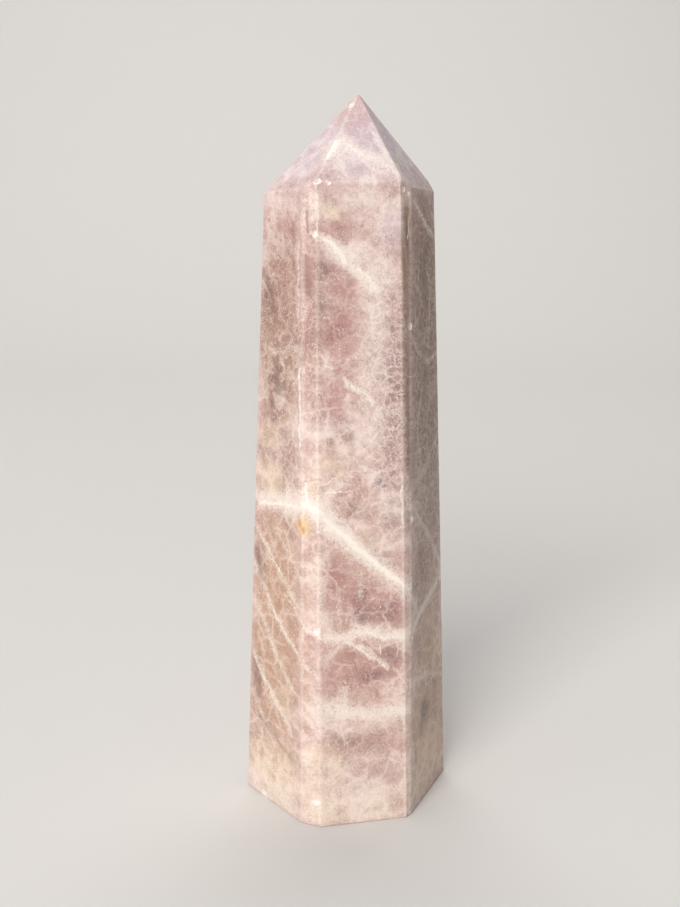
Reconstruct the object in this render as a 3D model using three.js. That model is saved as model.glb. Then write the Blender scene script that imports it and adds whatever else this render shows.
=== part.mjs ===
// Rose quartz point: one hand-cut six-sided stone tower, standing on its flat foot.
// Millimetres, +Z up. The viewer stands on the -Y side; azimuth 0 faces the viewer and
// grows towards the viewer's right (+X).
//
// The stone is the space inside a set of flat cuts. Each cut is a plane:
//   side cuts  - azimuth, lean (degrees the face leans in from upright) and reach, the
//                distance from the upright axis to the face at foot level;
//   tip cuts   - azimuth, climb (degrees the face's outward normal points up) and peak, the
//                height at which the face would cross the axis.
// The corners where three cuts meet are moved inwards by the edge radius and given back a
// small ball each, so every edge is gently rounded and every face stays flat.

import * as THREE from 'three';
import { ConvexGeometry } from 'three/addons/geometries/ConvexGeometry.js';

// Driving dimensions.
const EDGE_RADIUS = 0.34; // worn roundness of every edge
const ROUND_STEPS = 3; // flats that make up the roundness of one edge
const FOOT_LEVEL = 0;
const HEIGHT = 100; // foot to the worn tip

// The six main sides, and three narrow flats left by the polishing wheel: one between the
// left and front sides, one between the front and right sides, and a rub low on the
// front-left corner.
const SIDE_CUTS = [
  { name: 'front', azimuth: 12.4, lean: 2.51, reach: 12.93 },
  { name: 'front right flat', azimuth: 44.4, lean: 2.59, reach: 14.1 },
  { name: 'right', azimuth: 65.2, lean: 1.96, reach: 12.86 },
  { name: 'back right', azimuth: 128.6, lean: 2.2, reach: 12.96 },
  { name: 'back', azimuth: 189.2, lean: 2.15, reach: 13.04 },
  { name: 'back left', azimuth: 248.9, lean: 2.28, reach: 13.1 },
  { name: 'left', azimuth: 309.6, lean: 1.7, reach: 13.3 },
  { name: 'front left flat', azimuth: 339.1, lean: 2.22, reach: 14.46 },
  { name: 'front left rub', azimuth: 324.6, lean: 0.3, reach: 14.2 },
];

// Six tip faces that meet a little to the right of the axis.
const TIP_CUTS = [
  { name: 'front tip', azimuth: 11.6, climb: 37.5, peak: 100.69 },
  { name: 'right tip', azimuth: 68.2, climb: 36.1, peak: 101.59 },
  { name: 'back right tip', azimuth: 127.6, climb: 38.2, peak: 101.2 },
  { name: 'back tip', azimuth: 188.4, climb: 37.4, peak: 100.3 },
  { name: 'back left tip', azimuth: 249.4, climb: 38.6, peak: 99.2 },
  { name: 'left tip', azimuth: 307.3, climb: 42.45, peak: 99.5 },
];

const STONE_COLOUR = '#cdb5af';
const STONE_ROUGHNESS = 0.2;

// The cuts as planes: every point p inside the stone has normal . p <= offset.
const radians = (degrees) => (degrees * Math.PI) / 180;

function outward(azimuth, climb) {
  const a = radians(azimuth);
  const c = radians(climb);
  return new THREE.Vector3(Math.sin(a) * Math.cos(c), -Math.cos(a) * Math.cos(c), Math.sin(c));
}

function sideCut({ azimuth, lean, reach }) {
  const normal = outward(azimuth, lean);
  return { normal, offset: reach * Math.cos(radians(lean)) };
}

function tipCut({ azimuth, climb, peak }) {
  const normal = outward(azimuth, climb);
  return { normal, offset: peak * Math.sin(radians(climb)) };
}

const foot = { normal: new THREE.Vector3(0, 0, -1), offset: -FOOT_LEVEL };
const cuts = [foot, ...SIDE_CUTS.map(sideCut), ...TIP_CUTS.map(tipCut)];

// The corners: every meeting point of three cuts that no other cut takes away.
function meetingPoint(a, b, c) {
  const across = new THREE.Vector3().crossVectors(b.normal, c.normal);
  const volume = a.normal.dot(across);
  if (Math.abs(volume) < 1e-6) return null;
  const point = across.multiplyScalar(a.offset);
  point.addScaledVector(new THREE.Vector3().crossVectors(c.normal, a.normal), b.offset);
  point.addScaledVector(new THREE.Vector3().crossVectors(a.normal, b.normal), c.offset);
  return point.divideScalar(volume);
}

function cornersOf(planes) {
  const corners = [];
  for (let i = 0; i < planes.length; i += 1) {
    for (let j = i + 1; j < planes.length; j += 1) {
      for (let k = j + 1; k < planes.length; k += 1) {
        const point = meetingPoint(planes[i], planes[j], planes[k]);
        if (!point) continue;
        const kept = planes.every((plane) => plane.normal.dot(point) <= plane.offset + 1e-7);
        if (kept) corners.push({ point, meets: [planes[i], planes[j], planes[k]] });
      }
    }
  }
  return corners;
}

// The ball at each corner of the shrunken stone. Only the part of the ball between the three
// face normals ever shows, so its points are the normals themselves (which keep the faces
// flat), steps from one to the next, and the middle.
function ballDirections([a, b, c]) {
  const directions = [a.normal, b.normal, c.normal];
  const middle = new THREE.Vector3();
  for (const [from, to] of [[a, b], [b, c], [c, a]]) {
    for (let step = 1; step < ROUND_STEPS; step += 1) {
      const direction = new THREE.Vector3().lerpVectors(from.normal, to.normal, step / ROUND_STEPS);
      directions.push(direction.normalize());
    }
    middle.add(from.normal);
  }
  directions.push(middle.normalize());
  return directions;
}

function roundedStone(planes, radius) {
  const inner = planes.map(({ normal, offset }) => ({ normal, offset: offset - radius }));
  const points = [];
  for (const { point, meets } of cornersOf(inner)) {
    for (const direction of ballDirections(meets)) {
      points.push(point.clone().addScaledVector(direction, radius));
    }
  }
  return points;
}

const points = roundedStone(cuts, EDGE_RADIUS);

// The whole stone is brought to HEIGHT, and the box around it stands centred over the origin.
const rawBox = new THREE.Box3().setFromPoints(points);
const rawCentre = rawBox.getCenter(new THREE.Vector3());
const scale = HEIGHT / rawBox.max.z;
for (const point of points) {
  point.x -= rawCentre.x;
  point.y -= rawCentre.y;
  point.multiplyScalar(scale);
}

const geometry = new ConvexGeometry(points);
const material = new THREE.MeshStandardMaterial({
  color: STONE_COLOUR,
  roughness: STONE_ROUGHNESS,
  metalness: 0,
});
const stone = new THREE.Mesh(geometry, material);
stone.name = 'quartz_point';

const part = new THREE.Group();
part.name = 'rose_quartz_point';
part.add(stone);

export default part;
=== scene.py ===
# %% [markdown]
# # A polished rose quartz point
#
# The object is one piece of stone: a slim tower of milky pink quartz, sawn and polished into flat faces
# that lean in a little towards a six-sided tip. Nothing is glued on and nothing moves, so the whole model
# is a single closed skin. Everything that makes it look like quartz is in two places: the shape of the
# skin (flat cuts, softly worn edges, small chips) and the pattern inside the stone (clouds, healed cracks,
# pink and brown zones), which is a procedural material. That material also carries painted light: painted
# shade on the side turned from the key light, painted warm bounce low down, a painted sky sheen on the tip, a
# painted glow and highlight along the edges, and painted glints.
#
# The first cell loads the measured model that every other tool uses. It stays where it is, and the new
# skin is made on top of it, so that sizes can't drift.

# %% Load the measured model
import math
from contextlib import contextmanager

import bmesh
import bpy
import numpy as np
from mathutils import Matrix, Vector, noise


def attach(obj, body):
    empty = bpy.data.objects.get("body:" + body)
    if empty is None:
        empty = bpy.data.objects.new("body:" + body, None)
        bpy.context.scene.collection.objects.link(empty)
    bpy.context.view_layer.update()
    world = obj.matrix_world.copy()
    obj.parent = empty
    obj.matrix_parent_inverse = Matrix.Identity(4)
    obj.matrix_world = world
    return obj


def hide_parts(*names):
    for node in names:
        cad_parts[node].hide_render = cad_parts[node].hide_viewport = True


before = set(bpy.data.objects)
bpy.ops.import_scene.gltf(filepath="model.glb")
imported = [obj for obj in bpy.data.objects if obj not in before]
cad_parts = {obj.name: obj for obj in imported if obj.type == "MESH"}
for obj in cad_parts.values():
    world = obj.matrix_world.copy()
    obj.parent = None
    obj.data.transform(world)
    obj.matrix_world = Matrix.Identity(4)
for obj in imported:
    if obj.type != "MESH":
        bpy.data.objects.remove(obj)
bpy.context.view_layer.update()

MM = 0.001

# %% [markdown]
# ## The flat cuts
#
# A cutter grinds such a stone one flat at a time, so the best description of it is a list of flats: a
# direction that each one faces, and how far it lies from the middle. They are read back from the measured
# model, by sorting its triangles by direction and keeping the large flats. The small strips left over are
# its rounded edges.

# %% Read the flat cuts from the measured stone
FLAT_AREA = 12.0        # mm2, more than any strip of a rounded edge has
SAME_WAY = 0.99995      # cosine of the angle within which two triangles are one flat
SAME_DISTANCE = 0.03    # mm


def merged_copy(measured):
    """An editable copy of the measured mesh, with its loose triangles joined."""
    copy = bmesh.new()
    copy.from_mesh(measured.data)
    bmesh.ops.remove_doubles(copy, verts=copy.verts, dist=1e-7)
    return copy


def flats_of(copy):
    """[(direction, distance in mm, area in mm2)], largest flats first."""
    found = []
    for face in sorted(copy.faces, key=lambda f: -f.calc_area()):
        direction = np.array(face.normal)
        distance = float(direction @ np.array(face.calc_center_median())) / MM
        area = face.calc_area() / MM ** 2
        for flat in found:
            if flat[0] @ direction > SAME_WAY and abs(flat[1] - distance) < SAME_DISTANCE:
                flat[2] += area
                break
        else:
            found.append([direction, distance, area])
    return [flat for flat in found if flat[2] > FLAT_AREA]


stone_mesh = merged_copy(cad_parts["quartz_point"])
flats = flats_of(stone_mesh)
flat_dirs = np.array([flat[0] for flat in flats])
flat_dists = np.array([flat[1] for flat in flats])
for direction, distance, area in flats:
    azimuth = math.degrees(math.atan2(direction[0], -direction[1])) % 360
    print(f"flat facing {azimuth:5.1f}, up {math.degrees(math.asin(direction[2])):5.1f}: "
          f"{distance:6.2f} mm out, {area:6.0f} mm2")

# %% [markdown]
# ## Names for the faces
#
# To place a vein where it belongs, each face that matters gets a name, and its own two rulers: u runs
# across the face from its middle, z runs up from the foot. A point on a face is then two numbers in
# millimetres, which is also how one would mark it on the real stone with a pencil.

# %% Name the faces and give each its rulers
FACE_AZIMUTHS = {       # direction in degrees, from the viewer's side round to the right, and side or tip
    "front": (12.4, False), "right flat": (44.4, False), "right": (65.2, False),
    "back right": (128.6, False), "back": (189.2, False), "back left": (248.9, False),
    "left": (309.6, False), "left flat": (339.1, False),
    "tip front": (11.6, True), "tip right": (68.2, True), "tip back right": (127.6, True),
    "tip back": (188.4, True), "tip back left": (249.4, True), "tip left": (307.3, True),
}
TIP_RISE = (0.4, 0.95)  # the upward part of a tip face's direction lies between these
SIDE_RISE = (-0.5, 0.4)


def find_flat(azimuth, is_tip):
    """The flat cut that looks nearest to that direction."""
    lowest, highest = TIP_RISE if is_tip else SIDE_RISE
    best = None
    for direction, distance, _ in flats:
        if not lowest < direction[2] < highest:
            continue
        turn = math.degrees(math.atan2(direction[0], -direction[1])) - azimuth
        turn = abs((turn + 180) % 360 - 180)
        if best is None or turn < best[0]:
            best = (turn, direction, distance)
    return best[1], best[2]


faces = {}
for face_name, (azimuth, is_tip) in FACE_AZIMUTHS.items():
    direction, distance = find_flat(azimuth, is_tip)
    across = np.array([-direction[1], direction[0], 0.0])
    across /= np.linalg.norm(across)
    faces[face_name] = {"out": direction, "dist": distance, "across": across}


def on_face(face_name, u, z):
    """The point u mm across and z mm up that face."""
    face = faces[face_name]
    level = np.array([face["out"][0], face["out"][1], 0.0])
    level /= np.linalg.norm(level)
    run = (face["dist"] - face["out"][2] * z) / float(face["out"] @ level)
    return u * face["across"] + run * level + np.array([0, 0, z])


print("a point in the middle of the front face:", on_face("front", 0, 45).round(2))

# %% [markdown]
# ## The skin
#
# The measured stone has only a few hundred triangles, one or two for each flat. A skin that can carry worn
# edges, chips and the faint unevenness of hand polishing needs points all over. The flats are joined back
# into whole polygons and then sliced: level slices up the stone, fan slices round it, and for each flat two
# slices just inside it, which put points along both sides of every edge. Slicing keeps the edges exactly
# where they were measured, which remeshing wouldn't.

# %% Slice the stone into a fine skin
LEVEL_STEP = 1.0         # mm between level slices
TOP_SLICE = 99.5                                # mm, no level slice from here up
FAN_SLICES = 44           # slices through the stone's axis
FAN_START = 0.37                # part of a step, so that no slice runs along a side's middle
EDGE_SLICES = (0.12, 0.45)      # mm inside each flat
ONE_PLANE = math.radians(0.1)   # triangles that turn less than this are one flat


def slice_skin(copy, point, normal):
    """Cuts new edges into the skin where that plane meets it."""
    bmesh.ops.bisect_plane(copy, geom=copy.verts[:] + copy.edges[:] + copy.faces[:], dist=1e-8,
                           plane_co=Vector(point) * MM, plane_no=Vector(normal))


bmesh.ops.dissolve_limit(stone_mesh, angle_limit=ONE_PLANE, verts=stone_mesh.verts,
                         edges=stone_mesh.edges)
for direction, distance, _ in flats:
    for inside in EDGE_SLICES:
        slice_skin(stone_mesh, direction * (distance - inside), direction)
for level in np.arange(LEVEL_STEP, TOP_SLICE, LEVEL_STEP):
    slice_skin(stone_mesh, (0, 0, level), (0, 0, 1))
for i in range(FAN_SLICES):
    turn = math.pi * (i + FAN_START) / FAN_SLICES
    slice_skin(stone_mesh, (0, 0, 0), (math.cos(turn), math.sin(turn), 0))
print("skin:", len(stone_mesh.verts), "points,", len(stone_mesh.faces), "faces")

# %% [markdown]
# ## Chips
#
# Quartz breaks in shell-shaped scoops. The real stone has a few, all small, where it was knocked: at the
# left corner of the shoulder, on both slopes of the tip, and along the long edges. Each is cut as the hollow
# that a ball would leave. The skin is divided more finely around it first, so that the hollow has a clean
# rim. That division can leave slivers thinner than a hair, so they are joined to their neighbours, and the
# count of open or doubled edges shows whether the skin is still closed.

# %% Divide the skin round the chips
# where it was knocked: face, u, z, ball radius, depth (mm)
CHIPS = [
    ("tip front", -6.1, 88.9, 0.8, 0.16), ("tip front", -4.8, 88.7, 0.7, 0.13),
    ("tip left", 5.7, 89.2, 0.7, 0.14), ("tip front", 5.6, 88.2, 0.7, 0.14),
    ("tip front", 6.6, 87.9, 0.6, 0.13), ("tip left", 1, 98.6, 0.7, 0.18), ("left", 6.4, 84.6, 0.7, 0.16),
    ("front", -6.7, 82.5, 0.6, 0.15), ("front", 6.6, 70.4, 0.7, 0.16), ("front", 6.9, 44.2, 0.8, 0.18),
    ("front", -7, 29.4, 0.8, 0.18), ("front", 7.2, 26.8, 0.7, 0.18), ("front", -7.4, 4, 1, 0.22),
    ("left", -3, 0.5, 1.4, 0.28), ("back", 6.4, 52, 0.9, 0.2), ("back left", 6.2, 30, 1, 0.22),
    ("back", -2, 0.6, 1.3, 0.26), ("back right", 5.9, 74, 0.8, 0.18),
]
CORNER_REACH = 0.5      # mm; flats this near count for the direction of a corner
FINEST_EDGE = 0.12      # mm; shorter edges aren't divided
REFINE_REACHES = (1.5, 1.25, 1.1)       # each round of division, in radii of the hollow's rim
REFINE_RIM = 0.1        # mm added to each
SLIVER = 0.004          # mm; anything thinner is joined to its neighbour


def knocked_outwards(point):
    """The way the surface faces there: the mean of the flats that meet near by."""
    gap = flat_dists - flat_dirs @ point
    near = flat_dirs[gap < CORNER_REACH]
    mean = near.mean(axis=0) if len(near) else flat_dirs[np.argmin(gap)]
    return mean / np.linalg.norm(mean)


def both_ends(edge):
    """Where an edge starts and ends, to sort edges alike in every run."""
    return tuple(edge.verts[0].co) + tuple(edge.verts[1].co)


def refine_round(copy, centre, radius):
    """Divides the faces that have a corner within that distance."""
    spots = np.array([v.co for v in copy.verts]) / MM
    close = np.flatnonzero(((spots - centre) ** 2).sum(axis=1) < radius ** 2)
    copy.verts.ensure_lookup_table()
    near = {f for i in close for f in copy.verts[i].link_faces}
    small = bmesh.ops.triangulate(copy, faces=sorted(near, key=lambda f: f.index))["faces"]
    edges = {e for f in small for e in f.edges if e.calc_length() > FINEST_EDGE * MM}
    bmesh.ops.subdivide_edges(copy, edges=sorted(edges, key=both_ends), cuts=1, use_grid_fill=True)
    copy.verts.index_update()
    copy.faces.index_update()


chip_balls = []
for face_name, u, z, ball, depth in CHIPS:
    spot = on_face(face_name, u, z)
    gap = (flat_dists - flat_dirs @ spot).min()
    spot = spot + knocked_outwards(spot) * min(gap, 0.0)
    outwards = knocked_outwards(spot)
    chip_balls.append((spot + outwards * (ball - depth), ball, outwards))
    for reach in REFINE_REACHES:
        refine_round(stone_mesh, spot, reach * math.sqrt(2 * ball * depth) + REFINE_RIM)
bmesh.ops.triangulate(stone_mesh, faces=[f for f in stone_mesh.faces if len(f.verts) > 4])
bmesh.ops.remove_doubles(stone_mesh, verts=stone_mesh.verts, dist=SLIVER * MM)
bmesh.ops.dissolve_degenerate(stone_mesh, edges=stone_mesh.edges, dist=SLIVER * MM)
print("skin with chips:", len(stone_mesh.verts), "points,", len(stone_mesh.faces), "faces,",
      sum(not edge.is_manifold for edge in stone_mesh.edges), "open or doubled edges")

# %% [markdown]
# ## Hand polishing
#
# No flat that is held against a wheel by hand comes out perfectly flat. The long faces bow out by less than
# a tenth of a millimetre half way up, and all of them undulate by a few hundredths. It can't be seen as
# shape, only as the slight bending of reflections. The points are moved along their own directions with a
# smooth noise of a fixed pattern, and the foot and the tip stay put, so the stone keeps its size.

# %% Bow and undulate the faces
BOW = 0.09              # mm at mid height
SHOULDER = 87.0         # mm, where the sides end and the bow with them
UNEVEN = 0.030          # mm
UNEVEN_LENGTHS = (9.0, 3.6)     # mm, long and short undulations; the short ones are half as high
CALM_FOOT = 3.0         # mm over which the unevenness grows from nothing
CALM_TIP = (98.0, 6.0)  # mm, where it has gone again, and over what height it goes
WIDEST_EDGE = 4.0       # mm; points farther from an edge than this are all alike

stone_mesh.verts.ensure_lookup_table()
points = np.array([v.co for v in stone_mesh.verts]) / MM
gaps = flat_dists[None, :] - points @ flat_dirs.T
edge_distance = np.clip(np.sort(gaps, axis=1)[:, 1], 0.0, WIDEST_EDGE)
ways = np.array([knocked_outwards(p) for p in points])
height = points[:, 2]
keep = np.clip(height / CALM_FOOT, 0, 1) * np.clip((CALM_TIP[0] - height) / CALM_TIP[1], 0, 1)
bow = BOW * np.sin(np.pi * np.clip(height / SHOULDER, 0, 1))
long_wave, short_wave = UNEVEN_LENGTHS
uneven = np.array([noise.noise(Vector(p) / long_wave) + 0.5 * noise.noise(Vector(p) / short_wave)
                   for p in points]) * UNEVEN
points += ways * ((bow + uneven) * keep)[:, None]
print("farthest that a point moved, mm:", round(float(np.abs((bow + uneven) * keep).max()), 3))

# %% Sink the chips
chip_mark = np.zeros(len(points))
for centre, ball, outwards in chip_balls:
    offset = points - centre
    along = offset @ outwards
    inside = ball ** 2 - (offset ** 2).sum(axis=1)
    hit = inside > 0
    drop = along + np.sqrt(np.maximum(along ** 2 + inside, 0))
    points[hit] -= outwards * drop[hit][:, None]
    chip_mark[hit] = 1.0
points[:, 2] = np.maximum(points[:, 2], 0.0)
for vert, point in zip(stone_mesh.verts, points):
    vert.co = Vector(point) * MM
print("chipped points:", int(chip_mark.sum()))

# %% [markdown]
# The skin becomes a mesh object. Each point's shading direction is the mean of the faces round it, weighted
# by their area, so that a flat looks flat right up to its worn edge. How far a point lies from the nearest
# edge, and whether it lies in a chip, are kept as attributes for the material to read.

# %% Make the stone's object
skin = bpy.data.meshes.new("polished_stone")
stone_mesh.to_mesh(skin)
stone_mesh.free()
for polygon in skin.polygons:
    polygon.use_smooth = True
for name, values in (("edge_distance", edge_distance), ("chip", chip_mark)):
    layer = skin.attributes.new(name, "FLOAT", "POINT")
    layer.data.foreach_set("value", values.astype(np.float32))


def area_weighted_directions(mesh):
    """One shading direction for each point."""
    mesh.calc_loop_triangles()
    corners = np.zeros(len(mesh.loop_triangles) * 3, dtype=np.int64)
    mesh.loop_triangles.foreach_get("vertices", corners)
    corners = corners.reshape(-1, 3)
    spots = np.zeros(len(mesh.vertices) * 3)
    mesh.vertices.foreach_get("co", spots)
    spots = spots.reshape(-1, 3) / MM
    a, b, c = (spots[corners[:, k]] for k in range(3))
    weighted_ways = np.cross(b - a, c - a)
    total = np.zeros_like(spots)
    for k in range(3):
        np.add.at(total, corners[:, k], weighted_ways)
    return total / np.maximum(np.linalg.norm(total, axis=1), 1e-12)[:, None]


skin.normals_split_custom_set_from_vertices(area_weighted_directions(skin).tolist())
stone = bpy.data.objects.new("polished_stone", skin)
bpy.context.scene.collection.objects.link(stone)
print("stone:", sum(len(p.vertices) - 2 for p in skin.polygons), "triangles")

# %% [markdown]
# ## Wiring helpers for the material
#
# The pattern in the stone needs a lot of small sums. These helpers add one node each, or a short chain, and
# take either a number or another node's output for each input, so that the wiring reads like arithmetic.

# %% Wiring helpers: nodes and sums
material = bpy.data.materials.new("rose_quartz_polished")
material.use_nodes = True
tree = material.node_tree
tree.nodes.clear()


def add(kind, **settings):
    """A new node of that kind in the tree being wired."""
    made = tree.nodes.new(kind)
    for key, value in settings.items():
        setattr(made, key, value)
    return made


def feed(socket, value):
    """Puts a number, a vector or another node's output on an input."""
    if isinstance(value, bpy.types.NodeSocket):
        tree.links.new(value, socket)
    elif value is not None:
        socket.default_value = value


def calc(operation, a, b=None):
    """One sum, by the name that the Math node gives it."""
    made = add("ShaderNodeMath", operation=operation)
    feed(made.inputs[0], a)
    feed(made.inputs[1], b)
    return made.outputs[0]


def product(first, *others):
    """All these numbers and outputs multiplied."""
    for other in others:
        first = calc("MULTIPLY", first, other)
    return first


def weighted(*parts):
    """The sum of (output, weight) pairs."""
    total = None
    for output, weight in parts:
        part = output if weight == 1 else calc("MULTIPLY", output, weight)
        total = part if total is None else calc("ADD", total, part)
    return total


def strongest(masks):
    """The largest of these masks at every place."""
    total = None
    for mask in masks:
        total = mask if total is None else calc("MAXIMUM", total, mask)
    return total


def vcalc(operation, a, b=None, scale=None):
    """One sum with vectors."""
    made = add("ShaderNodeVectorMath", operation=operation)
    feed(made.inputs[0], a)
    feed(made.inputs[1], b)
    if scale is not None:
        feed(made.inputs["Scale"], scale)
    return made.outputs["Value" if operation in ("DOT_PRODUCT", "LENGTH") else "Vector"]


# %% Wiring helpers: ranges, colours and noise
def fade(value, low, high, to_low=0.0, to_high=1.0):
    """to_low where the value is at low, to_high where it is at high, smoothly in between.

    A smooth step never leaves its range, so the node's own clamp stays off, which keeps the shader small.
    """
    made = add("ShaderNodeMapRange", interpolation_type="SMOOTHSTEP", clamp=False)
    for socket, number in zip(made.inputs, (value, low, high, to_low, to_high)):
        feed(socket, number)
    return made.outputs[0]


def rescale(value, low, high):
    """0 at low, 1 at high, and straight on beyond both."""
    made = add("ShaderNodeMapRange", clamp=False)
    for socket, number in zip(made.inputs, (value, low, high, 0.0, 1.0)):
        feed(socket, number)
    return made.outputs[0]


def ridge(value, width):
    """1 where a noise is exactly half way, which is along curly lines, and 0 from that width on."""
    return fade(calc("ABSOLUTE", calc("SUBTRACT", value, 0.5)), width, 0.0)


def blend(amount, one, two, way="MIX"):
    """Goes from colour one to colour two as amount goes from 0 to 1."""
    made = add("ShaderNodeMix", data_type="RGBA", blend_type=way, clamp_factor=True)
    feed(made.inputs["Factor"], amount)
    feed(made.inputs["A"], one)
    feed(made.inputs["B"], two)
    return made.outputs["Result"]


def cloud(place, scale, detail=3.0, rough=0.55):
    """A soft noise; scale is in patches per mm."""
    made = add("ShaderNodeTexNoise")
    feed(made.inputs["Vector"], place)
    feed(made.inputs["Scale"], scale)
    feed(made.inputs["Detail"], detail)
    feed(made.inputs["Roughness"], rough)
    return made.outputs


def srgb(red, green, blue):
    """A colour as paint charts give it, 0 to 255, turned to the linear light that Blender mixes."""
    def linear(value):
        value /= 255.0
        return value / 12.92 if value <= 0.04045 else ((value + 0.055) / 1.055) ** 2.4
    return (linear(red), linear(green), linear(blue), 1.0)


# %% [markdown]
# A pattern that is used again and again is best kept in a node group: a box with named inputs and outputs.
# While a group is being wired, the helpers above have to add their nodes to it and not to the material,
# which is what the last of these helpers is for.

# %% Wiring helpers: groups
def new_group(name, inputs, outputs):
    """An empty shader group with named inputs (label, kind, value) and outputs (label, kind)."""
    group = bpy.data.node_groups.new(name, "ShaderNodeTree")
    for label, kind, value in inputs:
        socket = group.interface.new_socket(label, in_out="INPUT", socket_type=kind)
        if value is not None:
            socket.default_value = value
    for label, kind in outputs:
        group.interface.new_socket(label, in_out="OUTPUT", socket_type=kind)
    return group


def use_group(group, values):
    """Places that group in the tree being wired and feeds its inputs."""
    made = add("ShaderNodeGroup")
    made.node_tree = group
    for label, value in values.items():
        feed(made.inputs[label], value)
    return made.outputs


@contextmanager
def wiring(group):
    """Lets the helpers add their nodes to that group."""
    global tree
    kept, tree = tree, group
    yield
    tree = kept


# %% [markdown]
# ## Two reusable patterns
#
# Two effects come back again and again, so each is a node group. A *soft patch* is a round zone that fades
# out at its rim: a cloud, a pink window, a dark core. A *crackle* is the net of fine healed cracks that makes
# quartz glitter: thin pale lines between small cells, and a slightly different shade in each cell.

# %% The soft patch group
PATCH_CORE = 0.2        # the part of the patch's radius that is at full strength
patch_group = new_group("soft_patch", [
    ("Place", "NodeSocketVector", None), ("One over size", "NodeSocketVector", (1, 1, 1)),
    ("Centre over size", "NodeSocketVector", None), ("Strength", "NodeSocketFloat", 1.0),
], [("Mask", "NodeSocketFloat")])
with wiring(patch_group):
    patch_in = add("NodeGroupInput").outputs
    scaled = add("ShaderNodeVectorMath", operation="MULTIPLY_ADD")
    for socket, label in zip(scaled.inputs, ("Place", "One over size", "Centre over size")):
        feed(socket, patch_in[label])
    patch_radius = vcalc("LENGTH", scaled.outputs[0])
    feed(add("NodeGroupOutput").inputs["Mask"],
         fade(patch_radius, 1.0, PATCH_CORE, 0.0, patch_in["Strength"]))


def soft_patch(spot, centre, size, strength):
    """A patch of that size round a centre, both in mm."""
    return use_group(patch_group, {
        "Place": spot, "One over size": tuple(1.0 / x for x in size),
        "Centre over size": tuple(-float(c) / x for c, x in zip(centre, size)), "Strength": strength,
    })["Mask"]


# %% The crackle group
crackle_group = new_group("crackle", [
    ("Place", "NodeSocketVector", None), ("Cells per mm", "NodeSocketFloat", 1.0),
    ("Line width", "NodeSocketFloat", 0.1), ("Core reach", "NodeSocketFloat", 0.4),
], [("Lines", "NodeSocketFloat"), ("Core", "NodeSocketFloat")])
with wiring(crackle_group):
    crackle_in = add("NodeGroupInput").outputs
    net = add("ShaderNodeTexVoronoi", feature="DISTANCE_TO_EDGE")
    feed(net.inputs["Vector"], crackle_in["Place"])
    feed(net.inputs["Scale"], crackle_in["Cells per mm"])
    crackle_out = add("NodeGroupOutput").inputs
    feed(crackle_out["Lines"], fade(net.outputs["Distance"], 0.0, crackle_in["Line width"], 1.0, 0.0))
    feed(crackle_out["Core"], fade(net.outputs["Distance"], 0.0, crackle_in["Core reach"]))
print("node groups:", [group.name for group in bpy.data.node_groups])

# %% [markdown]
# ## Where a pattern is looked up
#
# Quartz isn't painted: its clouds lie at different depths under the polish. Looking a pattern up a few
# millimetres *behind* the surface gives that for next to nothing, because each flat then shows its own slice
# through the same cloud, and the slices don't meet at the edges, just as in the real stone. All places are
# in millimetres, and a slow noise bends them so that nothing follows a straight line.

# %% Places in the stone, bent and at three depths
MID_DEPTH, DEEP_DEPTH = 1.2, 4.5        # mm under the polish
texture_place = add("ShaderNodeTexCoord")
place = vcalc("SCALE", texture_place.outputs["Object"], scale=1.0 / MM)
normal = texture_place.outputs["Normal"]


def behind(depth):
    """The place that many mm under the surface."""
    return vcalc("SUBTRACT", place, vcalc("SCALE", normal, scale=depth))


def bent(start, scale, amount):
    """A place pushed about by a noise, by up to about that many mm."""
    push = cloud(start, scale, detail=2.0)["Color"]
    centred = vcalc("SUBTRACT", push, (0.5, 0.5, 0.5))
    return vcalc("ADD", start, vcalc("SCALE", centred, scale=2.0 * amount))


bent_near = bent(bent(place, scale=0.30, amount=0.55), scale=1.3, amount=0.30)
deep_place = bent(behind(DEEP_DEPTH), scale=0.20, amount=2.6)
mid_place = bent(behind(MID_DEPTH), scale=0.50, amount=0.9)
print("patterns are looked up at the surface and", MID_DEPTH, "and", DEEP_DEPTH, "mm below it")

# %% [markdown]
# ## The body colour
#
# The stone goes from rose through a dusty pink to milk. Three layers decide which: large soft clouds deep
# inside, finer mottling half way, and a sugary grain right under the polish.

# %% Clouds, mottling and grain
MILK = srgb(232, 211, 205)
ROSE = srgb(203, 166, 160)
DUSTY = srgb(158, 117, 112)
MILKY = (0.99, 1.20)            # tone at which milk begins, and is full
DARKENED = (1.00, 0.76)         # tone at which the dusty pink begins, and is full
DUSTY_AT_MOST = 0.80

deep_cloud = cloud(deep_place, scale=0.12, detail=3.0, rough=0.55)[0]
mid_cloud = cloud(mid_place, scale=0.50, detail=3.5, rough=0.60)[0]
grain = cloud(bent_near, scale=2.8, detail=3.0, rough=0.72)[0]
sugar = cloud(place, scale=4.2, detail=2.0, rough=0.75)[0]
tone = weighted((deep_cloud, 0.95), (mid_cloud, 0.85), (grain, 0.25))
colour = blend(fade(tone, *MILKY), ROSE, MILK)
colour = blend(fade(tone, *DARKENED, 0.0, DUSTY_AT_MOST), colour, DUSTY)
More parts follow.
